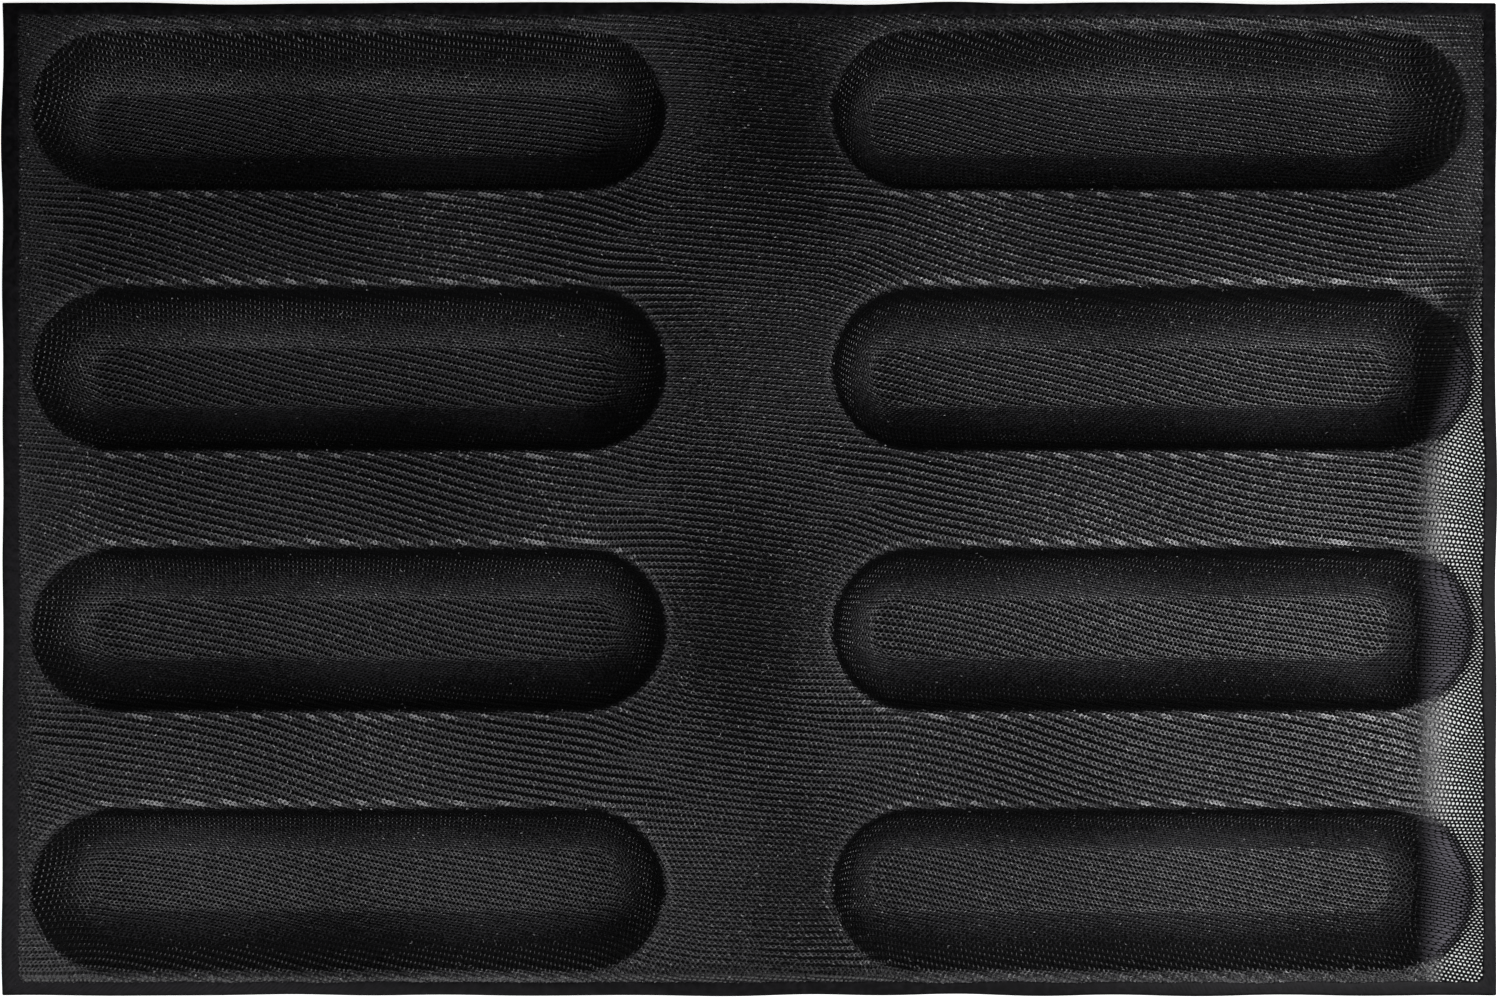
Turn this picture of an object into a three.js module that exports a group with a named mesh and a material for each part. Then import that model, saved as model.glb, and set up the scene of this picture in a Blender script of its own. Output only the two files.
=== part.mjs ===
// Baguette tray: a coated mesh skin formed into eight troughs, with a silicone seal along its edges.
//
// Millimetres, +Z up, +X along the troughs. The origin is under the tray's middle, at the level of the
// trough floors, on which the tray stands.

import * as THREE from 'three';
import { mergeVertices } from 'three/addons/utils/BufferGeometryUtils.js';

// Driving dimensions
const TRAY_LENGTH = 600;
const TRAY_WIDTH = 400;
const DECK_HEIGHT = 27;
const SKIN = 1.0;

const TROUGH_LENGTH = 254;
const TROUGH_WIDTH = 63.5;
const COLUMN_PITCH = 324;
const ROW_PITCH = 105;
const ROWS = 4;

const RIM_ROLL = 3;
const RIM_SLOPE = THREE.MathUtils.degToRad(72);
const FOOT_SLOPE = THREE.MathUtils.degToRad(35);
const FOOT_ROUNDING = 4;

const SEAL_WIDTH = 5.5;
const SEAL_THICKNESS = 1.3;
const SEAL_CORNER = 0.5;
const SEAL_BEVEL = 0.3;

const GAP = 0.3;

// Fineness of the round shapes
const ROUND_SIDES = 24;
const ROLL_STEPS = 2;
const WALL_STEPS = 4;
const FOOT_STEPS = 2;

// Worked out from the driving dimensions
const END_RADIUS = TROUGH_WIDTH / 2;
const HALF_STRAIGHT = (TROUGH_LENGTH - TROUGH_WIDTH) / 2;
const ROLL_REACH = RIM_ROLL * Math.tan(RIM_SLOPE / 2);
const FLANGE_RADIUS = END_RADIUS + ROLL_REACH;
const ROLL_DROP = RIM_ROLL * (1 - Math.cos(RIM_SLOPE));
const FOOT_DROP = FOOT_ROUNDING * (1 - Math.cos(FOOT_SLOPE));
const WALL_DROP = DECK_HEIGHT - SKIN - ROLL_DROP - FOOT_DROP;
const WALL_RADIUS = WALL_DROP / (Math.cos(FOOT_SLOPE) - Math.cos(RIM_SLOPE));

const meshMaterial = new THREE.MeshStandardMaterial({ color: 0x242327, roughness: 0.55, metalness: 0 });
const sealMaterial = new THREE.MeshStandardMaterial({ color: 0x111113, roughness: 0.45, metalness: 0 });

function namedMesh(name, geometry, material) {
  const mesh = new THREE.Mesh(geometry, material);
  mesh.name = name;
  return mesh;
}

// Points on a trough wall's section, from the deck down to the floor, as x = distance from the end's axis
// and y = height. The section is three arcs that meet without a corner: the roll at the rim bends down, and
// the wall and the foot bend back up. below = 0 gives the inside of the trough, and below = SKIN the outside.
function wallSection(below) {
  let radius = FLANGE_RADIUS;
  let height = DECK_HEIGHT;
  let slope = 0;
  const points = [new THREE.Vector2(radius, height - below)];
  const arcs = [
    { bend: RIM_ROLL, until: RIM_SLOPE, steps: ROLL_STEPS },
    { bend: WALL_RADIUS, until: FOOT_SLOPE, steps: WALL_STEPS },
    { bend: FOOT_ROUNDING, until: 0, steps: FOOT_STEPS },
  ];
  for (const { bend, until, steps } of arcs) {
    const turn = (until - slope) / steps;
    for (let step = 0; step < steps; step += 1) {
      const next = slope + turn;
      radius -= bend * Math.abs(Math.sin(next) - Math.sin(slope));
      height -= bend * Math.abs(Math.cos(next) - Math.cos(slope));
      slope = next;
      points.push(new THREE.Vector2(radius + below * Math.sin(slope), height - below * Math.cos(slope)));
    }
  }
  return points;
}

// Facets drawn around a circle, so that the flat sides and the ends keep their full size.
function facetRadius(radius) {
  return radius / Math.cos(Math.PI / ROUND_SIDES);
}

// A turned shape pulled apart along X, so that its two halves become the round ends of a straight trough.
function stretchedLathe(section, halfStraight) {
  const points = section.map(({ x, y }) => new THREE.Vector2(facetRadius(x), y));
  const start = Math.PI / ROUND_SIDES;
  const lathe = new THREE.LatheGeometry(points, ROUND_SIDES, start, 2 * Math.PI);
  lathe.rotateX(Math.PI / 2);
  const position = lathe.getAttribute('position');
  for (let i = 0; i < position.count; i += 1) {
    const column = Math.floor(i / points.length);
    const angle = start + (column * 2 * Math.PI) / ROUND_SIDES;
    position.setX(i, position.getX(i) + Math.sign(Math.sin(angle)) * halfStraight);
  }
  lathe.deleteAttribute('normal');
  lathe.deleteAttribute('uv');
  return withoutEmptyTriangles(mergeVertices(lathe));
}

// On the turning axis a lathe makes triangles with two corners in one place. They are dropped.
function withoutEmptyTriangles(geometry) {
  const { array } = geometry.getIndex();
  const kept = [];
  for (let i = 0; i < array.length; i += 3) {
    const [a, b, c] = array.slice(i, i + 3);
    if (a !== b && b !== c && c !== a) {
      kept.push(a, b, c);
    }
  }
  geometry.setIndex(kept);
  return geometry;
}

// The outline of a trough's opening at a given end radius, with the same facets as the trough's ends.
function openingOutline(radius) {
  const outline = [];
  for (let side = 0; side < ROUND_SIDES; side += 1) {
    const angle = ((side + 0.5) * 2 * Math.PI) / ROUND_SIDES;
    const x = facetRadius(radius) * Math.sin(angle);
    const y = facetRadius(radius) * Math.cos(angle);
    outline.push(new THREE.Vector2(x + Math.sign(x) * HALF_STRAIGHT, y));
  }
  return outline;
}

function troughPlaces() {
  const places = [];
  for (const [column, side] of [['left', -1], ['right', 1]]) {
    for (let row = 0; row < ROWS; row += 1) {
      places.push({
        name: `trough_${column}_${row + 1}`,
        x: (side * COLUMN_PITCH) / 2,
        y: ((ROWS - 1) / 2 - row) * ROW_PITCH,
      });
    }
  }
  return places;
}

function makeTrough({ name, x, y }) {
  const inside = wallSection(0);
  const outside = wallSection(SKIN);
  const insideAxis = new THREE.Vector2(0, SKIN);
  const outsideAxis = new THREE.Vector2(0, 0);
  const section = [outsideAxis, ...outside.reverse(), ...inside, insideAxis];
  const trough = namedMesh(name, stretchedLathe(section, HALF_STRAIGHT), meshMaterial);
  trough.position.set(x, y, 0);
  return trough;
}

// The flat web between the troughs and the seal.
function makeDeck() {
  const halfLength = TRAY_LENGTH / 2 - SEAL_WIDTH - GAP;
  const halfWidth = TRAY_WIDTH / 2 - SEAL_WIDTH - GAP;
  const shape = new THREE.Shape([
    new THREE.Vector2(-halfLength, -halfWidth),
    new THREE.Vector2(halfLength, -halfWidth),
    new THREE.Vector2(halfLength, halfWidth),
    new THREE.Vector2(-halfLength, halfWidth),
  ]);
  const centre = new THREE.Vector2();
  for (const { x, y } of troughPlaces()) {
    centre.set(x, y);
    const outline = openingOutline(FLANGE_RADIUS + GAP).map((point) => point.add(centre));
    shape.holes.push(new THREE.Path(outline));
  }
  const deck = namedMesh(
    'mesh_deck',
    new THREE.ExtrudeGeometry(shape, { depth: SKIN, bevelEnabled: false }),
    meshMaterial,
  );
  deck.position.z = DECK_HEIGHT - SKIN;
  return deck;
}

// One strip of the seal, lying along X with its outer edge towards -Y. cornerRadius rounds its outer ends.
function sealStrip(name, length, cornerRadius) {
  const half = length / 2 - SEAL_BEVEL;
  const outer = -SEAL_WIDTH / 2 + SEAL_BEVEL;
  const inner = SEAL_WIDTH / 2 - SEAL_BEVEL;
  const shape = new THREE.Shape();
  shape.moveTo(-half, inner);
  shape.lineTo(-half, outer + cornerRadius);
  if (cornerRadius > 0) {
    shape.absarc(cornerRadius - half, outer + cornerRadius, cornerRadius, Math.PI, 1.5 * Math.PI);
    shape.absarc(half - cornerRadius, outer + cornerRadius, cornerRadius, 1.5 * Math.PI, 2 * Math.PI);
  } else {
    shape.lineTo(half, outer);
  }
  shape.lineTo(half, inner);
  const geometry = new THREE.ExtrudeGeometry(shape, {
    depth: SEAL_THICKNESS - 2 * SEAL_BEVEL,
    curveSegments: 4,
    bevelThickness: SEAL_BEVEL,
    bevelSize: SEAL_BEVEL,
    bevelSegments: 1,
  });
  geometry.translate(0, 0, SEAL_BEVEL - SEAL_THICKNESS / 2);
  return namedMesh(name, geometry, sealMaterial);
}

// The front and back strips hold the corners, and the side strips fit between them.
function makeSeal() {
  const seal = new THREE.Group();
  seal.position.z = DECK_HEIGHT - SKIN / 2;
  const sideLength = TRAY_WIDTH - 2 * (SEAL_WIDTH + GAP);
  const strips = [
    { side: 'front', length: TRAY_LENGTH, corner: SEAL_CORNER, turn: 0, out: TRAY_WIDTH },
    { side: 'right', length: sideLength, corner: 0, turn: Math.PI / 2, out: TRAY_LENGTH },
    { side: 'back', length: TRAY_LENGTH, corner: SEAL_CORNER, turn: Math.PI, out: TRAY_WIDTH },
    { side: 'left', length: sideLength, corner: 0, turn: -Math.PI / 2, out: TRAY_LENGTH },
  ];
  for (const { side, length, corner, turn, out } of strips) {
    const strip = sealStrip(`edge_seal_${side}`, length, corner);
    const distance = (out - SEAL_WIDTH) / 2;
    strip.rotation.z = turn;
    strip.position.set(distance * Math.sin(turn), -distance * Math.cos(turn), 0);
    seal.add(strip);
  }
  return seal;
}

const tray = new THREE.Group();
tray.add(makeDeck());
for (const place of troughPlaces()) {
  tray.add(makeTrough(place));
}
tray.add(makeSeal());

export default tray;
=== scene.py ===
"""Baguette tray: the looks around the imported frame.

The tray is one sheet of knitted glass-fibre mesh, coated with black silicone and formed into eight troughs,
with a silicone seal along its edges. The knit is real geometry: every hole and every strand is there.
Lengths are in metres, +X runs along the troughs and +Z up.
"""

import math

import bpy
import numpy as np
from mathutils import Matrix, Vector


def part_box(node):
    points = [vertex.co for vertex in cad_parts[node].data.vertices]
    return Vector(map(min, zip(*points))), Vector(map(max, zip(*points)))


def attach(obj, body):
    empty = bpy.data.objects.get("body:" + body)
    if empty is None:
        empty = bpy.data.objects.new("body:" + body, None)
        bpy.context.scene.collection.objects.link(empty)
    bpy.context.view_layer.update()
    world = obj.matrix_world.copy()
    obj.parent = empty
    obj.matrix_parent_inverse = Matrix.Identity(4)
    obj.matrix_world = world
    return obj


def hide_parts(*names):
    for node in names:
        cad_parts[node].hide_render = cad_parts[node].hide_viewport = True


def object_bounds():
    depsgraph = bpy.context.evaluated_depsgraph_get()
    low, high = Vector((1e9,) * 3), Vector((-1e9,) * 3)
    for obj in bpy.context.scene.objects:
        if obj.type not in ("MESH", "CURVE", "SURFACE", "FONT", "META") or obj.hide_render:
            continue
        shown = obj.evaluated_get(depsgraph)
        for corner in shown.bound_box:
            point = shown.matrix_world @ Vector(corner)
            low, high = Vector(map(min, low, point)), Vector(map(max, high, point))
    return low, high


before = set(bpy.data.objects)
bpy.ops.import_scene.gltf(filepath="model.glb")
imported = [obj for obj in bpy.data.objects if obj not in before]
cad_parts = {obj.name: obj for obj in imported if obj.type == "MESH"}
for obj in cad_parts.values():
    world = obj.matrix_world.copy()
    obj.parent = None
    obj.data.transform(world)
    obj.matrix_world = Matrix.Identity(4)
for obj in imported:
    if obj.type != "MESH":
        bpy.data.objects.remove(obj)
cad_low, cad_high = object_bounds()

MM = 0.001
SEED = 7

# The formed sheet. The places come from the frame, and these are the bends of a trough's wall
ROWS = 4
SIDES = ("left", "right")
TROUGHS = [f"trough_{side}_{row + 1}" for side in SIDES for row in range(ROWS)]
SKIN = 1.0 * MM
RIM_ROLL = 3.0 * MM
FOOT_ROUNDING = 4.0 * MM
RIM_SLOPE = math.radians(72)
FOOT_SLOPE = math.radians(35)
FOOT_SQUARENESS = 0.9
SHOULDER_DROP = 0.9 * MM
SHOULDER_REACH = 3.0 * MM

# The knit. GLINTS is the share of the strands that are glossy, with a bright painted glint, wherever they lie
HOLE_PITCH = 1.82 * MM
COURSE_PITCH = 1.27 * MM
COURSE_SLOPE = math.radians(-9.3)
COLUMN_LEAN = math.radians(-10)
YARN = 0.80 * MM
UNEVENNESS = 0.08
GLINTS = 0.003
FORMING_STEPS = 12

# Strands keep their width where the cloth is stretched, so the holes grow. Every second course is a dense,
# raised band with smaller holes, and it differs from the open courses the most where the cloth is pulled
# across the courses
COURSE_STRAND = 1.02 * MM
COLUMN_STRAND = 0.76 * MM
TIP_CONTRAST = 0.17
SIDE_CONTRAST = 0.09
DENSE_RISE = 0.28 * MM
OPEN_SINK = 0.14 * MM
OPEN_EDGE_TILT = 1.7
DENSE_EDGE_TILT = 0.8

# How far forming draws the cloth in: outwards over a trough's floor, inwards at its rim. Beyond the ends of
# the troughs the courses are gathered towards the middle of each row
FLOOR_PULL = np.array([1.0, 2.8, 2.8, 1.0]) * MM
SIDE_PULL = 4.6 * MM
INNER_END_PULL = 6.5 * MM
ROW_GATHER = 1.7 * MM

# The knit is cut into pieces a little inside the rims of the troughs
TROUGH_CUT = 1.5 * MM

# The floor is lit from inside, like a light table, so that it is white without bright lights on the tray
FLOOR_GLOW = 0.8
# END_SHADE_GLOW is the glow of the grey discs of painted shade under the right ends of the right troughs
END_SHADE_GLOW = 0.20

# The seal. KNIT_AND_PAINTED_LIGHT_BY is how much of the knit shows through the silicone, at distances in
# metres round the tray from the right end of the back edge and round by the left. It sets the dimples and the
# seal's grey, and that grey is partly the knit showing and partly painted light and shade round the tray
SEAL_THICKNESS = 1.3 * MM
SEAL_STEP = 0.52 * MM
KNIT_AND_PAINTED_LIGHT_AT = (0.0, 0.12, 0.30, 0.60, 0.69, 0.76, 1.0, 1.10, 1.17, 1.40, 1.50, 1.6, 2.0)
KNIT_AND_PAINTED_LIGHT_BY = (0.4, 0.45, 0.10, 0.10, 0.20, 0.80, 1.0, 1.0, 0.30, 0.05, 0.45, 0.3, 0.2)
SEAL_SHARE = (0.0, 0.02, 0.06, 0.14, 0.26, 0.38, 0.50, 0.62, 0.74, 0.86, 0.96, 1.0)
SEAL_FULLNESS = (0.0, 0.55, 0.85, 1.0, 1.0, 1.0, 1.0, 0.98, 0.95, 0.88, 0.74, 0.60)

# The camera, straight above a point left of and in front of the middle
CAMERA_FOOT = np.array([-0.075, -0.039])
CAMERA_DISTANCE = 0.680


def corners(name):
    """A node's lowest and highest corners, as arrays."""
    low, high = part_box(name)
    return np.array(low), np.array(high)


def trough_centres():
    """Each trough's middle in plan, and the radius and half length that all of them share."""
    boxes = [corners(name) for name in TROUGHS]
    centres = np.array([(low + high)[:2] / 2 for low, high in boxes])
    half_size = (boxes[0][1] - boxes[0][0]) / 2
    return centres, half_size[1], half_size[0] - half_size[1]


CENTRES, FLANGE_RADIUS, HALF_STRAIGHT = trough_centres()
COLUMN_X = CENTRES[-1, 0]
ROW_Y = CENTRES[:ROWS, 1]
HALF_WEB = (ROW_Y[0] - ROW_Y[1]) / 2
DECK_LOW, DECK_HIGH = corners("mesh_deck")
DECK_MIDDLE = (DECK_LOW[2] + DECK_HIGH[2]) / 2
HALF_TRAY = np.array([cad_high[0], cad_high[1]])


# The sheet's shape


def smoothstep(low, high, value):
    """0 at low, 1 at high, and smooth between them, whichever of the two is the larger."""
    t = np.clip((value - low) / (high - low), 0, 1)
    return t * t * (3 - 2 * t)


def bump(value, middle, reach):
    return np.exp(-(((value - middle) / reach) ** 2))


def unit(vectors):
    return vectors / np.linalg.norm(vectors, axis=-1, keepdims=True)


def wall_section(samples=60):
    """The middle of a trough's wall: distances from the end's axis, rising, and the height at each."""
    roll = RIM_ROLL - SKIN / 2
    foot = FOOT_ROUNDING + SKIN / 2
    fall = DECK_MIDDLE - SKIN / 2
    roll_fall = roll * (1 - math.cos(RIM_SLOPE))
    foot_fall = foot * (1 - math.cos(FOOT_SLOPE))
    wall = (fall - roll_fall - foot_fall) / (math.cos(FOOT_SLOPE) - math.cos(RIM_SLOPE))
    radius = FLANGE_RADIUS
    height = DECK_MIDDLE
    radii, heights = [], []
    for bend, start, end in ((roll, 0, RIM_SLOPE), (wall, RIM_SLOPE, FOOT_SLOPE), (foot, FOOT_SLOPE, 0)):
        slope = np.linspace(start, end, samples)
        arc_radii = radius - bend * np.abs(np.sin(slope) - math.sin(start))
        arc_heights = height - bend * np.abs(np.cos(slope) - math.cos(start))
        radii.append(arc_radii)
        heights.append(arc_heights)
        radius, height = arc_radii[-1], arc_heights[-1]
    return np.concatenate(radii)[::-1], np.concatenate(heights)[::-1]


SECTION_RADII, SECTION_HEIGHTS = wall_section()
FLOOR_RADIUS = SECTION_RADII[0]


def nearest_row(y):
    return np.abs(np.asarray(y)[..., None] - ROW_Y).argmin(axis=-1)


def from_nearest_trough(x, y):
    """Offsets of a plan point from the nearest trough: past the ends of its straight part, and across it."""
    from_middle = np.abs(x) - COLUMN_X
    past_end = np.sign(from_middle) * np.maximum(np.abs(from_middle) - HALF_STRAIGHT, 0)
    return past_end, y - ROW_Y[nearest_row(y)]


def trough_radius(x, y):
    """How far a plan point is from the middle line of the nearest trough, whose ends are a little square."""
    past_end, across = from_nearest_trough(x, y)
    past_end, across = np.abs(past_end), np.abs(across)
    round_radius = np.hypot(past_end, across)
    power = 2 + FOOT_SQUARENESS * (1 - smoothstep(0.3, 1.0, round_radius / FLANGE_RADIUS))
    return (past_end**power + across**power) ** (1 / power)


def ripple(x, y):
    """The gentle waves of a thin sheet that doesn't lie quite flat."""
    waves = (
        (0.30, 31, 17, 0.4),
        (0.22, -23, 43, 1.9),
        (0.16, 57, 29, 4.1),
        (0.10, 83, -61, 2.6),
    )
    height = sum(size * np.sin(a * x + b * y + phase) for size, a, b, phase in waves)
    return height * MM


def margin_creases(x, y):
    """Low ridges that forming leaves in the narrow margins beside the outer troughs."""
    back = bump(y, HALF_TRAY[1] - 6.8 * MM, 0.9 * MM)
    front = bump(y, 7.6 * MM - HALF_TRAY[1], 0.9 * MM)
    from_middle = np.abs(np.abs(x) - COLUMN_X)
    beside_trough = smoothstep(115 * MM, 75 * MM, from_middle)
    return 0.5 * MM * (back + front) * beside_trough


def rim_shoulder(radius):
    """How far the sheet bends down towards a rim before the roll."""
    past_rim = np.maximum(radius - FLANGE_RADIUS, 0)
    off_floor = smoothstep(FLOOR_RADIUS, FLANGE_RADIUS, radius)
    return SHOULDER_DROP * np.exp(-past_rim / SHOULDER_REACH) * off_floor


def sheet_height(x, y):
    radius = trough_radius(x, y)
    height = np.interp(radius, SECTION_RADII, SECTION_HEIGHTS) - rim_shoulder(radius)
    looseness = smoothstep(0.5, 1.0, radius / FLANGE_RADIUS)
    return height + looseness * (ripple(x, y) + margin_creases(x, y))


def sheet_normal(x, y):
    reach = 0.05 * MM
    slope_x = (sheet_height(x + reach, y) - sheet_height(x - reach, y)) / (2 * reach)
    slope_y = (sheet_height(x, y + reach) - sheet_height(x, y - reach)) / (2 * reach)
    return unit(np.stack([-slope_x, -slope_y, np.ones_like(slope_x)], axis=-1))


def on_sheet(plan):
    """Points on the sheet's middle and the normals there, for an array of plan points."""
    x, y = plan[..., 0], plan[..., 1]
    return np.stack([x, y, sheet_height(x, y)], axis=-1), sheet_normal(x, y)


# The knit


def forming_pull(x, y):
    """How far the cloth at a plan point was drawn in when the troughs were formed."""
    past_end, across = from_nearest_trough(x, y)
    radius = np.maximum(np.hypot(past_end, across), 0.01 * MM)
    on_floor = np.minimum(radius / FLOOR_RADIUS, 1)
    down_wall = 1 - np.clip((radius - FLOOR_RADIUS) / (FLANGE_RADIUS - FLOOR_RADIUS), 0, 1)
    floor_pull = -FLOOR_PULL[nearest_row(y)] * on_floor * down_wall
    side_pull = np.interp(radius, (FLOOR_RADIUS, FLANGE_RADIUS, HALF_WEB), (0, SIDE_PULL, 0))
    inner_reach = COLUMN_X - HALF_STRAIGHT
    inner_pull = np.interp(radius, (FLOOR_RADIUS, FLANGE_RADIUS, inner_reach), (0, INNER_END_PULL, 0))
    outer_pull = np.interp(radius, (FLOOR_RADIUS, FLANGE_RADIUS), (0, SIDE_PULL))
    end_pull = np.where(past_end < 0, inner_pull, outer_pull)
    pull_x = np.sign(x) * (end_pull + floor_pull) * past_end / radius
    pull_y = (side_pull + floor_pull) * across / radius
    beyond_end = smoothstep(15 * MM, 45 * MM, np.abs(past_end))
    pull_y += ROW_GATHER * np.sin(math.pi * across / HALF_WEB) * beyond_end
    return np.stack([pull_x, pull_y], axis=-1)


def knit_to_plan(u, v):
    """Where a point of the flat knit lies in plan, once it slopes and wanders and forming draws it in."""
    wander_v = 2.6 * MM * np.sin(19 * u + 7 * v + 0.6) + 0.9 * MM * np.sin(47 * u - 13 * v + 2.2)
    wander_u = 1.4 * MM * np.sin(23 * v + 11 * u + 1.1)
    u, v = u + wander_u, v + wander_v
    x = u * math.cos(COURSE_SLOPE) - v * math.sin(COLUMN_LEAN)
    y = u * math.sin(COURSE_SLOPE) + v * math.cos(COLUMN_LEAN)
    flat = np.stack([x, y], axis=-1)
    plan = flat
    for _ in range(FORMING_STEPS):
        plan = flat - forming_pull(plan[..., 0], plan[..., 1])
    return plan


def knit_grid():
    """Cell centres and the two yarn crossings above and below each, on a grid of courses and columns."""
    reach = np.hypot(*HALF_TRAY) + 20 * MM
    columns = int(2 * reach / HOLE_PITCH) + 4
    courses = int(2 * reach / COURSE_PITCH) + 4
    column, course = np.meshgrid(np.arange(columns), np.arange(courses))
    u = (column - columns / 2 + 0.5 * (course % 2)) * HOLE_PITCH
    v = (course - courses / 2) * COURSE_PITCH
    centre = knit_to_plan(u, v)
    upper = knit_to_plan(u, v + COURSE_PITCH * 2 / 3)
    lower = knit_to_plan(u, v - COURSE_PITCH * 2 / 3)
    return course, centre, upper, lower


def piece_numbers(plan):
    """Each cell's trough by number, or past those numbers its part of the deck, or -1 for none."""
    x, y = plan[..., 0], plan[..., 1]
    seal_reach = 2.0 * MM
    inside = (np.abs(x) < HALF_TRAY[0] - seal_reach) & (np.abs(y) < HALF_TRAY[1] - seal_reach)
    third = np.clip(((y / HALF_TRAY[1] + 1) * 1.5).astype(int), 0, 2)
    number = len(TROUGHS) + third + 3 * (x > 0)
    for index, (centre_x, centre_y) in enumerate(CENTRES):
        along = np.maximum(np.abs(x - centre_x) - HALF_STRAIGHT, 0)
        in_trough = np.hypot(along, y - centre_y) < FLANGE_RADIUS - TROUGH_CUT
        number = np.where(in_trough, index, number)
    return np.where(inside, number, -1)


def build_mesh(name, points, quads, tones, materials, normals=None):
    """A piece made of quads. normals, where given, are one for each corner of each quad."""
    mesh = bpy.data.meshes.new(name)
    mesh.vertices.add(len(points))
    mesh.vertices.foreach_set("co", points.astype(np.float32).ravel())
    mesh.loops.add(quads.size)
    mesh.loops.foreach_set("vertex_index", quads.astype(np.int32).ravel())
    mesh.polygons.add(len(quads))
    mesh.polygons.foreach_set("loop_start", np.arange(0, quads.size, 4, dtype=np.int32))
    for material in materials:
        mesh.materials.append(material)
    mesh.polygons.foreach_set("material_index", tones.astype(np.int32))
    mesh.update(calc_edges=True)
    mesh.validate()
    mesh.shade_smooth()
    if normals is not None:
        mesh.normals_split_custom_set(normals.reshape(-1, 3).astype(np.float32))
    piece = bpy.data.objects.new(name, mesh)
    bpy.context.scene.collection.objects.link(piece)
    return piece


def edge_closeness(plan):
    """0 on the open web, and 1 next to the seal, where silicone has crept into the mesh."""
    from_edge = np.min(HALF_TRAY - np.abs(plan), axis=-1)
    return smoothstep(17 * MM, 7 * MM, from_edge)


def course_contrast(cell_height, middle):
    """How much the dense and the open courses differ, from 0 to about 1, cell by cell."""
    stretch = cell_height / (COURSE_PITCH * 4 / 3)
    return np.clip(0.55 + 1.5 * (stretch - 1), 0.4, 1.05) * (1 - 0.75 * edge_closeness(middle))


def wall_share(up):
    """0 where the cloth is level and 1 on the steep walls, from the upward part of its normal."""
    return smoothstep(0.1, 0.5, 1 - up)


def hole_openness(rng, side_of_course, cell_width, cell_height, middle, on_wall):
    """How open each cell is towards its six corners, as a share of the way to them."""
    tip = np.clip(1 - COURSE_STRAND / cell_height, 0.34, 0.60) + TIP_CONTRAST * side_of_course
    side = np.clip(1 - COLUMN_STRAND / cell_width, 0.4, 0.68) + SIDE_CONTRAST * side_of_course
    openness = np.stack([tip, side, side, tip, side, side], axis=-1)
    openness *= rng.uniform(0.94, 1.06, openness.shape)
    gathered = bump(trough_radius(middle[:, 0], middle[:, 1]), FLANGE_RADIUS + 0.8 * MM, 1.3 * MM)
    filled = 1 - 0.16 * edge_closeness(middle)
    drawn_open = 1 + 0.22 * on_wall
    return openness * (filled * drawn_open * (1 - 0.35 * gathered))[:, None]


def cell_tones(rng, side_of_course, middle, on_wall):
    """A material number for each side of each cell: 0 is dark, 1 is middle, 2 is light and 3 is glossy with a
    painted glint; the tones carry painted highlights and painted shade as well as tone that differs at
    random.
    """
    x, y = middle[:, 0], middle[:, 1]
    radius = trough_radius(x, y)
    in_trough = smoothstep(FLANGE_RADIUS + 1 * MM, FLANGE_RADIUS - 3 * MM, radius)
    lines = (1 - 0.4 * in_trough) * (1 - 0.2 * on_wall)
    value = 0.45 + 0.3 * on_wall - 0.75 * lines * side_of_course - 0.1 * edge_closeness(middle)
    # Darker down the middle, between the two columns of troughs: painted shade
    value -= 0.45 * bump(x, 0, 48 * MM)
    value += 0.12 * np.sin(61 * x + 23 * y) + 0.12 * np.sin(37 * y - 29 * x)
    past_outer_row = smoothstep(0, 10 * MM, np.abs(y) - ROW_Y[0])
    past_outer_end = smoothstep(0, 10 * MM, np.abs(x) - COLUMN_X - HALF_STRAIGHT)
    inner_rim = (1 - past_outer_row) * (1 - past_outer_end)
    # A painted highlight just outside the inner rims, and painted shade in a band just inside them
    value += 0.6 * inner_rim * bump(radius, FLANGE_RADIUS + 1.0 * MM, 1.2 * MM)
    value -= 2.2 * inner_rim * bump(radius, FLANGE_RADIUS - 2.6 * MM, 2.0 * MM)
    # Darker yarn at the right end of the tray, except on the trough floors: painted shade
    right_end = smoothstep(HALF_TRAY[0] - 26 * MM, HALF_TRAY[0] - 16 * MM, x) * smoothstep(0.13, 0.04, y)
    value -= 1.8 * right_end * smoothstep(FLANGE_RADIUS - 20 * MM, FLANGE_RADIUS - 10 * MM, radius)

    # On the walls the upright sides of the open courses are bright with a painted glint, and the other sides
    # are dark with painted shade
    is_upright = np.array([False, True, False, False, True, False])
    upright_tone = np.where(side_of_course > 0, 1.5, -1.5)[:, None]
    value = value[:, None] + on_wall[:, None] * np.where(is_upright, upright_tone, -1.1)
    value += rng.normal(0, 0.16, value.shape)
    tone = np.digitize(value, (-0.35, 0.45, 1.6))
    return np.where(rng.random(tone.shape) < GLINTS, 3, tone)


def cell_corners(course, column, shape):
    """The yarn crossings, by number, at each cell's six corners, from the top one and round by the left."""
    courses, columns = shape
    crossing = np.arange(2 * courses * columns).reshape(2, courses, columns)
    shift = course % 2
    around = [
        (0, course, column),
        (1, course + 1, column - 1 + shift),
        (0, course - 1, column - 1 + shift),
        (1, course, column),
        (0, course - 1, column + shift),
        (1, course + 1, column + shift),
    ]
    return np.stack([crossing[place] for place in around], axis=1)


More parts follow.
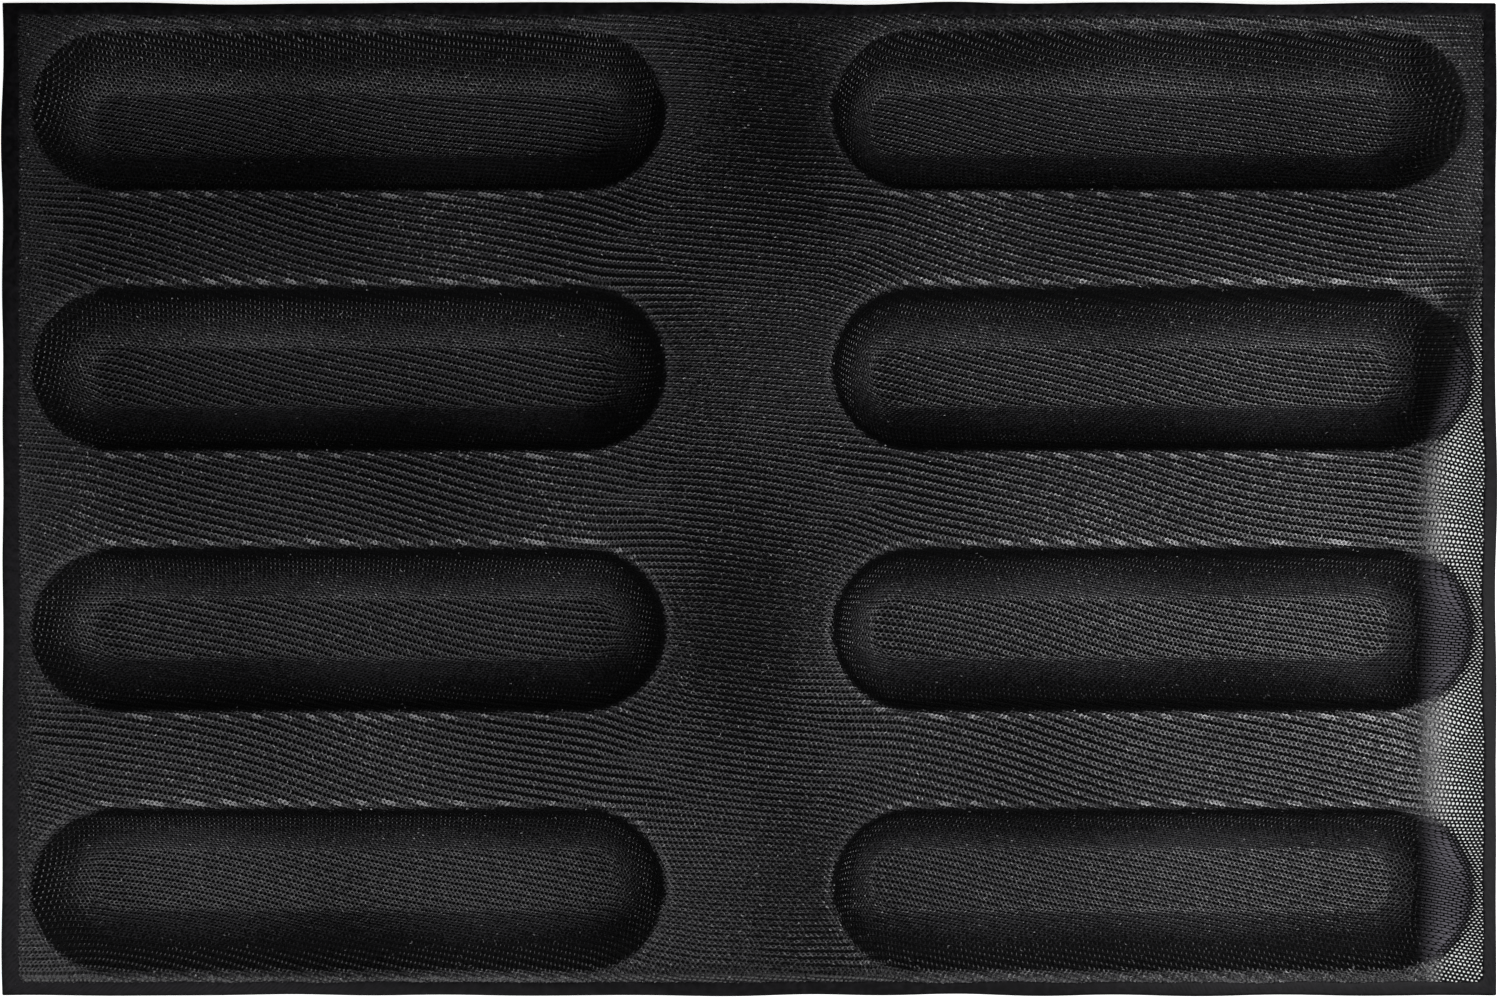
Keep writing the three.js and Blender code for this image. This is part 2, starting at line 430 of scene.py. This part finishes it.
def strand_quads(corner, crossings):
    """The strands' upper and lower faces: a quad for each side of each cell, from its edge to its hole.

    The points are numbered so: the tops of the crossings, then their undersides, then the edges of the holes.
    """
    ring = 2 * crossings + np.arange(corner.size).reshape(corner.shape)
    ahead = np.roll(corner, -1, axis=1)
    ring_ahead = np.roll(ring, -1, axis=1)
    top = np.stack([corner, ahead, ring_ahead, ring], axis=-1)
    bottom = np.stack([crossings + ahead, crossings + corner, ring, ring_ahead], axis=-1)
    return np.concatenate([top, bottom], axis=1).reshape(-1, 4)


def strand_normals(ridge_up, tilted, hole_up):
    """A normal for each corner of the quads in strand_quads, which makes the strands look round."""
    ridge_up_ahead = np.roll(ridge_up, -1, axis=1)
    side_normals = []
    for facing in (1, -1):
        ring_normal = unit(tilted + facing * hole_up)
        ring_normal_ahead = np.roll(ring_normal, -1, axis=1)
        if facing > 0:
            corners_in_turn = [ridge_up, ridge_up_ahead, ring_normal_ahead, ring_normal]
        else:
            corners_in_turn = [-ridge_up_ahead, -ridge_up, ring_normal, ring_normal_ahead]
        side_normals.append(np.stack(corners_in_turn, axis=2))
    return np.concatenate(side_normals, axis=1)


def make_knit(materials):
    """The whole mesh, cut into one piece for each trough and six for the deck."""
    rng = np.random.default_rng(SEED)
    course, centre, upper, lower = knit_grid()
    number = piece_numbers(centre)
    number[:1], number[-1:], number[:, :1], number[:, -1:] = -1, -1, -1, -1

    ridge_plan = np.stack([upper, lower])
    ridge, sheet_up = on_sheet(ridge_plan)
    drawn_thin = 1 - 0.62 * wall_share(sheet_up[..., 2:])
    yarn = YARN / 2 * drawn_thin * rng.uniform(0.92, 1.08, (2, *course.shape, 1))
    ridge_middle = ridge.reshape(-1, 3)
    ridge_top = (ridge + sheet_up * yarn).reshape(-1, 3)
    ridge_bottom = (ridge - sheet_up * yarn).reshape(-1, 3)
    uneven = unit(sheet_up + rng.normal(0, UNEVENNESS, sheet_up.shape)).reshape(-1, 3)

    kept_course, kept_column = np.nonzero(number >= 0)
    corner = cell_corners(kept_course, kept_column, course.shape)
    corner_plan = ridge_plan.reshape(-1, 2)[corner]
    middle = centre[kept_course, kept_column]
    on_wall = wall_share(sheet_up.reshape(-1, 3)[corner[:, 0], 2])
    dense = kept_course % 2 == 1
    corner_middle = ridge_middle[corner]
    cell_height = np.linalg.norm(corner_middle[:, 0] - corner_middle[:, 3], axis=-1)
    left_side = corner_middle[:, 1] + corner_middle[:, 2]
    right_side = corner_middle[:, 4] + corner_middle[:, 5]
    cell_width = np.linalg.norm(left_side - right_side, axis=-1) / 2
    contrast = course_contrast(cell_height, middle)
    side_of_course = np.where(dense, -contrast, contrast)

    openness = hole_openness(rng, side_of_course, cell_width, cell_height, middle, on_wall)
    hole_plan = middle[:, None] + openness[..., None] * (corner_plan - middle[:, None])
    hole, hole_up = on_sheet(hole_plan)
    inward = np.concatenate([middle[:, None] - hole_plan, np.zeros(hole_plan.shape[:2] + (1,))], axis=-1)
    inward = unit(inward - hole_up * np.sum(inward * hole_up, axis=-1, keepdims=True))
    relief = contrast * (1 - 0.7 * on_wall)
    hole += hole_up * (relief * np.where(dense, DENSE_RISE, -OPEN_SINK))[:, None, None]
    tilted = inward * np.where(dense, DENSE_EDGE_TILT, OPEN_EDGE_TILT)[:, None, None]
    tone = cell_tones(rng, side_of_course, middle, on_wall)

    pieces = []
    names = TROUGHS + [f"deck_{side}_{third}" for side in SIDES for third in ("front", "middle", "back")]
    kept_number = number[kept_course, kept_column]
    for index, name in enumerate(names):
        mine = kept_number == index
        used, local = np.unique(corner[mine], return_inverse=True)
        quads = strand_quads(local.reshape(-1, 6), len(used))
        points = np.concatenate([ridge_top[used], ridge_bottom[used], hole[mine].reshape(-1, 3)])
        normals = strand_normals(uneven[corner[mine]], tilted[mine], hole_up[mine])
        tones = np.concatenate([tone[mine], tone[mine]], axis=1).ravel()
        pieces.append(build_mesh(f"knit_{name}", points, quads, tones, materials, normals))
    return pieces


# The seal


def rounded_corners(corner_points, radius):
    """An arc for each corner of a rectangle, from the right back corner and round by the left."""
    arcs = []
    for index, corner in enumerate(corner_points):
        start = math.pi / 2 * index
        diagonal = start + math.pi / 4
        inset = radius * math.sqrt(2) * np.array([math.cos(diagonal), math.sin(diagonal)])
        turn = start + np.linspace(0, math.pi / 2, 8)
        arcs.append(corner - inset + radius * np.stack([np.cos(turn), np.sin(turn)], axis=-1))
    return arcs


def seal_stations():
    """Points along the outer edge and the inner edge of the seal, paired, once round the tray."""
    half = HALF_TRAY + np.array([0.5, -0.3]) * MM
    low_side = -HALF_TRAY + np.array([6.2, 5.6]) * MM
    high_side = HALF_TRAY - np.array([4.6, 5.3]) * MM
    outer = [half, half * (-1, 1), -half, half * (1, -1)]
    inner = [high_side, (low_side[0], high_side[1]), low_side, (high_side[0], low_side[1])]
    outer_arcs = rounded_corners(outer, 0.6 * MM)
    inner_arcs = rounded_corners(inner, 2.6 * MM)
    outer_points, inner_points = [], []
    for index in range(4):
        outer_start, outer_end = outer_arcs[index][-1], outer_arcs[(index + 1) % 4][0]
        inner_start, inner_end = inner_arcs[index][-1], inner_arcs[(index + 1) % 4][0]
        steps = int(np.linalg.norm(outer_end - outer_start) / SEAL_STEP)
        share = np.linspace(0, 1, steps)[1:-1, None]
        outer_points += [outer_arcs[index], outer_start * (1 - share) + outer_end * share]
        inner_points += [inner_arcs[index], inner_start * (1 - share) + inner_end * share]
    return np.concatenate(outer_points), np.concatenate(inner_points)


def wobble(count, rng, waves, size):
    """A smooth random run of offsets that closes on itself."""
    angle = np.linspace(0, 2 * math.pi, count, endpoint=False)
    run = np.zeros(count)
    for wave in waves:
        run += rng.normal() * np.sin(wave * angle + rng.uniform(0, 2 * math.pi))
    return size * run / math.sqrt(len(waves) / 2)


def make_seal(material):
    """The seal, with the knit's holes as dimples where the silicone is thin."""
    rng = np.random.default_rng(SEED + 1)
    outer, inner = seal_stations()
    count = len(outer)
    across = outer - inner
    across /= np.linalg.norm(across, axis=1, keepdims=True)
    outer = outer + across * wobble(count, rng, range(5, 40), 0.22 * MM)[:, None]
    inner_edge = wobble(count, rng, range(8, 60), 0.25 * MM)
    inner_edge += wobble(count, rng, range(500, 1400, 3), 0.16 * MM)
    inner = inner + across * inner_edge[:, None]

    share = np.array(SEAL_SHARE)
    plan = outer[:, None] * (1 - share)[None, :, None] + inner[:, None] * share[None, :, None]
    x, y = plan[..., 0], plan[..., 1]
    along_course = math.cos(COURSE_SLOPE) * x + math.sin(COURSE_SLOPE) * y
    across_courses = math.cos(COURSE_SLOPE) * y - math.sin(COURSE_SLOPE) * x
    hole = np.cos(2 * math.pi * along_course / HOLE_PITCH) * np.cos(math.pi * across_courses / COURSE_PITCH)
    distance_round = np.linalg.norm(np.roll(outer, -1, axis=0) - outer, axis=1).cumsum()
    shown = np.interp(distance_round, KNIT_AND_PAINTED_LIGHT_AT, KNIT_AND_PAINTED_LIGHT_BY)[:, None] * smoothstep(0.10, 0.35, share)
    dimple = 0.30 * MM * smoothstep(0.1, 0.8, hole) * shown
    middle = sheet_height(x, y)
    lift = SEAL_THICKNESS / 2 * np.array(SEAL_FULLNESS)
    top = np.stack([x, y, middle + lift - dimple], axis=-1)
    bottom = np.stack([x, y, middle - lift + dimple], axis=-1)[:, 1:]
    section_points = np.concatenate([top, bottom[:, ::-1]], axis=1)
    around = section_points.shape[1]
    index = np.arange(count * around).reshape(count, around)
    right = np.roll(index, -1, axis=0)
    quads = np.stack([index, np.roll(index, -1, axis=1), np.roll(right, -1, axis=1), right], axis=-1)
    quads = quads.reshape(-1, 4)
    piece = build_mesh("edge_seal", section_points.reshape(-1, 3), quads, np.zeros(len(quads)), [material])
    knit_shows = piece.data.attributes.new("knit_shows", "FLOAT", "POINT")
    # The seal's grey: lighter where the knit shows, and set round the tray as painted light and shade
    strands = shown * (1 - 0.8 * smoothstep(0.0, 0.7, hole))
    knit_shows.data.foreach_set("value", np.concatenate([strands, strands[:, :0:-1]], axis=1).ravel())
    return piece


# Materials


def new_material(name):
    material = bpy.data.materials.new(name)
    material.use_nodes = True
    return material, material.node_tree.nodes, material.node_tree.links


def silicone_yarn(name, colour, roughness, least_gloss, most_gloss):
    """Coated yarn: satin silicone with a fine grain, whose gloss varies from place to place."""
    material, nodes, links = new_material(name)
    shader = nodes["Principled BSDF"]
    shader.inputs["Base Color"].default_value = (*colour, 1)
    shader.inputs["Roughness"].default_value = roughness
    coordinates = nodes.new("ShaderNodeTexCoord")
    patches = nodes.new("ShaderNodeTexNoise")
    patches.inputs["Scale"].default_value = 700
    patches.inputs["Detail"].default_value = 3
    gloss = nodes.new("ShaderNodeMapRange")
    gloss.inputs["From Min"].default_value = 0.35
    gloss.inputs["From Max"].default_value = 0.65
    gloss.inputs["To Min"].default_value = least_gloss
    gloss.inputs["To Max"].default_value = most_gloss
    grain = nodes.new("ShaderNodeTexNoise")
    grain.inputs["Scale"].default_value = 5000
    grain.inputs["Detail"].default_value = 2
    height = nodes.new("ShaderNodeDisplacement")
    height.inputs["Scale"].default_value = 0.03 * MM
    links.new(coordinates.outputs["Object"], patches.inputs["Vector"])
    links.new(coordinates.outputs["Object"], grain.inputs["Vector"])
    links.new(patches.outputs["Fac"], gloss.inputs["Value"])
    links.new(gloss.outputs["Result"], shader.inputs["Specular IOR Level"])
    links.new(grain.outputs["Fac"], height.inputs["Height"])
    links.new(height.outputs["Displacement"], nodes["Material Output"].inputs["Displacement"])
    return material


def seal_silicone():
    """Silicone over the knit: nearly black where it is thick, and mottled grey where the knit shows, with
    painted light and shade round the tray in that grey.
    """
    material, nodes, links = new_material("seal_silicone")
    shader = nodes["Principled BSDF"]
    shader.inputs["Specular IOR Level"].default_value = 0.10
    coordinates = nodes.new("ShaderNodeTexCoord")
    knit_shows = nodes.new("ShaderNodeAttribute")
    knit_shows.attribute_name = "knit_shows"
    mottle = nodes.new("ShaderNodeTexNoise")
    mottle.inputs["Scale"].default_value = 420
    mottle.inputs["Detail"].default_value = 5
    thinness_and_painted_light = nodes.new("ShaderNodeMath")
    thinness_and_painted_light.operation = "MULTIPLY_ADD"
    thinness_and_painted_light.inputs[1].default_value = 0.45
    colour = nodes.new("ShaderNodeValToRGB")
    colour.color_ramp.elements[0].position = 0.45
    colour.color_ramp.elements[0].color = (0.0058, 0.0056, 0.0064, 1)
    colour.color_ramp.elements[1].position = 1.0
    colour.color_ramp.elements[1].color = (0.0215, 0.0200, 0.0235, 1)
    roughness = nodes.new("ShaderNodeMapRange")
    roughness.inputs["To Min"].default_value = 0.38
    roughness.inputs["To Max"].default_value = 0.62
    grain = nodes.new("ShaderNodeTexNoise")
    grain.inputs["Scale"].default_value = 1800
    relief = nodes.new("ShaderNodeBump")
    relief.inputs["Strength"].default_value = 0.35
    relief.inputs["Distance"].default_value = 0.08 * MM
    links.new(coordinates.outputs["Object"], mottle.inputs["Vector"])
    links.new(coordinates.outputs["Object"], grain.inputs["Vector"])
    links.new(knit_shows.outputs["Fac"], thinness_and_painted_light.inputs[0])
    links.new(mottle.outputs["Fac"], thinness_and_painted_light.inputs[2])
    links.new(thinness_and_painted_light.outputs["Value"], colour.inputs["Fac"])
    links.new(mottle.outputs["Fac"], roughness.inputs["Value"])
    links.new(grain.outputs["Fac"], relief.inputs["Height"])
    links.new(colour.outputs["Color"], shader.inputs["Base Color"])
    links.new(roughness.outputs["Result"], shader.inputs["Roughness"])
    links.new(relief.outputs["Normal"], shader.inputs["Normal"])
    return material


def glowing_material(name, colour, roughness, glow_colour, glow):
    material, nodes, _ = new_material(name)
    shader = nodes["Principled BSDF"]
    shader.inputs["Base Color"].default_value = (*colour, 1)
    shader.inputs["Roughness"].default_value = roughness
    shader.inputs["Emission Color"].default_value = (*glow_colour, 1)
    shader.inputs["Emission Strength"].default_value = glow
    return material


# The stage


def flat_sheet(name, outline, height, material):
    mesh = bpy.data.meshes.new(name)
    mesh.from_pydata([(x, y, height) for x, y in outline], [], [range(len(outline))])
    mesh.materials.append(material)
    sheet = bpy.data.objects.new(name, mesh)
    bpy.context.scene.collection.objects.link(sheet)


def ground_behind(x, y):
    """The place on the floor that the camera sees through a point of the deck."""
    spread = 1 + DECK_MIDDLE / CAMERA_DISTANCE
    return tuple(CAMERA_FOOT + (np.array([x, y]) - CAMERA_FOOT) * spread)


def rising_along(nodes, links, value, low, high, amount):
    """A value that rises smoothly from 0 to amount while another one goes from low to high."""
    step = nodes.new("ShaderNodeMapRange")
    step.interpolation_type = "SMOOTHSTEP"
    step.inputs["From Min"].default_value = low
    step.inputs["From Max"].default_value = high
    step.inputs["To Max"].default_value = amount
    links.new(value, step.inputs["Value"])
    return step.outputs["Result"]


def painted_shadow_material():
    """Painted shadow under the tray: black, but partly clear near the right edge, less far in at the back,
    and a little in front.
    """
    material, nodes, links = new_material("painted_shadow_sheet_black")
    shader = nodes["Principled BSDF"]
    shader.inputs["Base Color"].default_value = (0.002, 0.002, 0.002, 1)
    shader.inputs["Roughness"].default_value = 1.0
    coordinates = nodes.new("ShaderNodeTexCoord")
    place = nodes.new("ShaderNodeSeparateXYZ")
    links.new(coordinates.outputs["Object"], place.inputs["Vector"])
    set_back = rising_along(nodes, links, place.outputs["Y"], 0.0, 0.13, 30 * MM)
    from_edge = nodes.new("ShaderNodeMath")
    from_edge.operation = "SUBTRACT"
    links.new(place.outputs["X"], from_edge.inputs[0])
    links.new(set_back, from_edge.inputs[1])
    right_edge = ground_behind(HALF_TRAY[0] - 32 * MM, 0)[0]
    from_edge_value = from_edge.outputs["Value"]
    at_right = rising_along(nodes, links, from_edge_value, right_edge, right_edge + 14 * MM, 0.6)
    front_edge = ground_behind(0, 9.5 * MM - HALF_TRAY[1])[1]
    at_front = rising_along(nodes, links, place.outputs["Y"], front_edge, front_edge - 2.5 * MM, 0.12)
    thinnest = nodes.new("ShaderNodeMath")
    thinnest.operation = "MAXIMUM"
    links.new(at_right, thinnest.inputs[0])
    links.new(at_front, thinnest.inputs[1])
    nothing = nodes.new("ShaderNodeBsdfTransparent")
    mix = nodes.new("ShaderNodeMixShader")
    links.new(thinnest.outputs["Value"], mix.inputs["Fac"])
    links.new(shader.outputs["BSDF"], mix.inputs[1])
    links.new(nothing.outputs["BSDF"], mix.inputs[2])
    links.new(mix.outputs["Shader"], nodes["Material Output"].inputs["Surface"])
    return material


def make_stage():
    """A pale floor, a dark sheet under the tray as painted shadow, and glowing grey discs of painted shade
    under the right ends of the right troughs.
    """
    pale = glowing_material("floor_white", (0.9, 0.9, 0.9), 0.9, (1, 1, 1), FLOOR_GLOW)
    flat_sheet("floor", [(-12, -12), (12, -12), (12, 12), (-12, 12)], -0.8 * MM, pale)

    left, front = ground_behind(*(1.5 * MM - HALF_TRAY))
    right, back = ground_behind(*(HALF_TRAY - 1.5 * MM))
    outline = [(left, front), (right, front), (right, back), (left, back)]
    # Painted shadow: a black sheet where the floor under the tray lies in shade
    flat_sheet("painted_shadow_sheet", outline, -0.3 * MM, painted_shadow_material())

    # Painted shade: dark grey discs that glow a little, seen through the right end walls of the right troughs
    grey = glowing_material("end_shade_grey", (0.012, 0.011, 0.013), 1.0, (0.9, 0.85, 1), END_SHADE_GLOW)
    turn = np.linspace(0, 2 * math.pi, 48, endpoint=False)
    circle = np.stack([np.cos(turn), np.sin(turn)], axis=-1) * (FLANGE_RADIUS + 0.5 * MM)
    for row, y in enumerate(ROW_Y):
        place = np.array([COLUMN_X + HALF_STRAIGHT, y])
        outline = [ground_behind(*(place + offset)) for offset in circle]
        flat_sheet(f"end_shade_{row + 1}", outline, -0.5 * MM, grey)


def softbox(name, place, target, size, power):
    light = bpy.data.lights.new(name, "AREA")
    light.shape = "RECTANGLE"
    light.size, light.size_y = size
    light.energy = power
    lamp = bpy.data.objects.new(name, light)
    lamp.location = place
    lamp.rotation_mode = "QUATERNION"
    lamp.rotation_quaternion = (Vector(target) - Vector(place)).to_track_quat("-Z", "Y")
    lamp.visible_camera = False
    bpy.context.scene.collection.objects.link(lamp)


def make_lights():
    world = bpy.data.worlds.new("studio")
    world.use_nodes = True
    background = world.node_tree.nodes["Background"]
    background.inputs["Color"].default_value = (1, 1, 1, 1)
    background.inputs["Strength"].default_value = 0.012
    bpy.context.scene.world = world
    middle = (0, 0, DECK_MIDDLE)
    softbox("key_softbox", (0.41, -0.09, 0.39), middle, (0.30, 0.30), 1.8)
    softbox("front_left_softbox", (-0.20, -0.36, 0.42), middle, (0.25, 0.25), 0.5)
    softbox("front_softbox", (0.0, -1.13, 1.13), middle, (0.8, 0.6), 3.0)
    softbox("left_softbox", (-0.31, -0.15, 0.45), middle, (0.25, 0.25), 0.25)
    softbox("low_left_softbox", (-0.62, -0.20, 0.31), middle, (0.25, 0.25), 0.4)


def make_camera():
    """Straight above CAMERA_FOOT, with the frame shifted back over the tray's middle."""
    frame_width = 0.6032
    frame_middle = (0.0003, -0.0004)
    camera = bpy.data.objects.new("camera", bpy.data.cameras.new("camera"))
    camera.location = (*CAMERA_FOOT, DECK_HIGH[2] + CAMERA_DISTANCE)
    camera.data.sensor_width = 36
    camera.data.lens = 36 * CAMERA_DISTANCE / frame_width
    camera.data.shift_x = (frame_middle[0] - CAMERA_FOOT[0]) / frame_width
    camera.data.shift_y = (frame_middle[1] - CAMERA_FOOT[1]) / frame_width
    bpy.context.scene.collection.objects.link(camera)
    bpy.context.scene.camera = camera


make_camera()
make_stage()
make_lights()

yarns = [
    silicone_yarn("yarn_dark", (0.0050, 0.0050, 0.0056), 0.50, 0.0, 0.08),
    silicone_yarn("yarn_mid", (0.0150, 0.0146, 0.0164), 0.38, 0.10, 0.60),
    silicone_yarn("yarn_light", (0.0460, 0.0450, 0.0500), 0.30, 0.20, 1.00),
    # Its bright colour is a painted glint, on top of its real gloss
    silicone_yarn("yarn_glossy_painted_glint", (0.2600, 0.2580, 0.2700), 0.22, 0.60, 1.00),
]
for piece in make_knit(yarns):
    node = piece.name.removeprefix("knit_")
    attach(piece, "root")
    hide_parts(node if node in TROUGHS else "mesh_deck")

seal = make_seal(seal_silicone())
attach(seal, "root")
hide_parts("edge_seal_front", "edge_seal_back", "edge_seal_left", "edge_seal_right")

bpy.context.scene.view_settings.view_transform = "Standard"
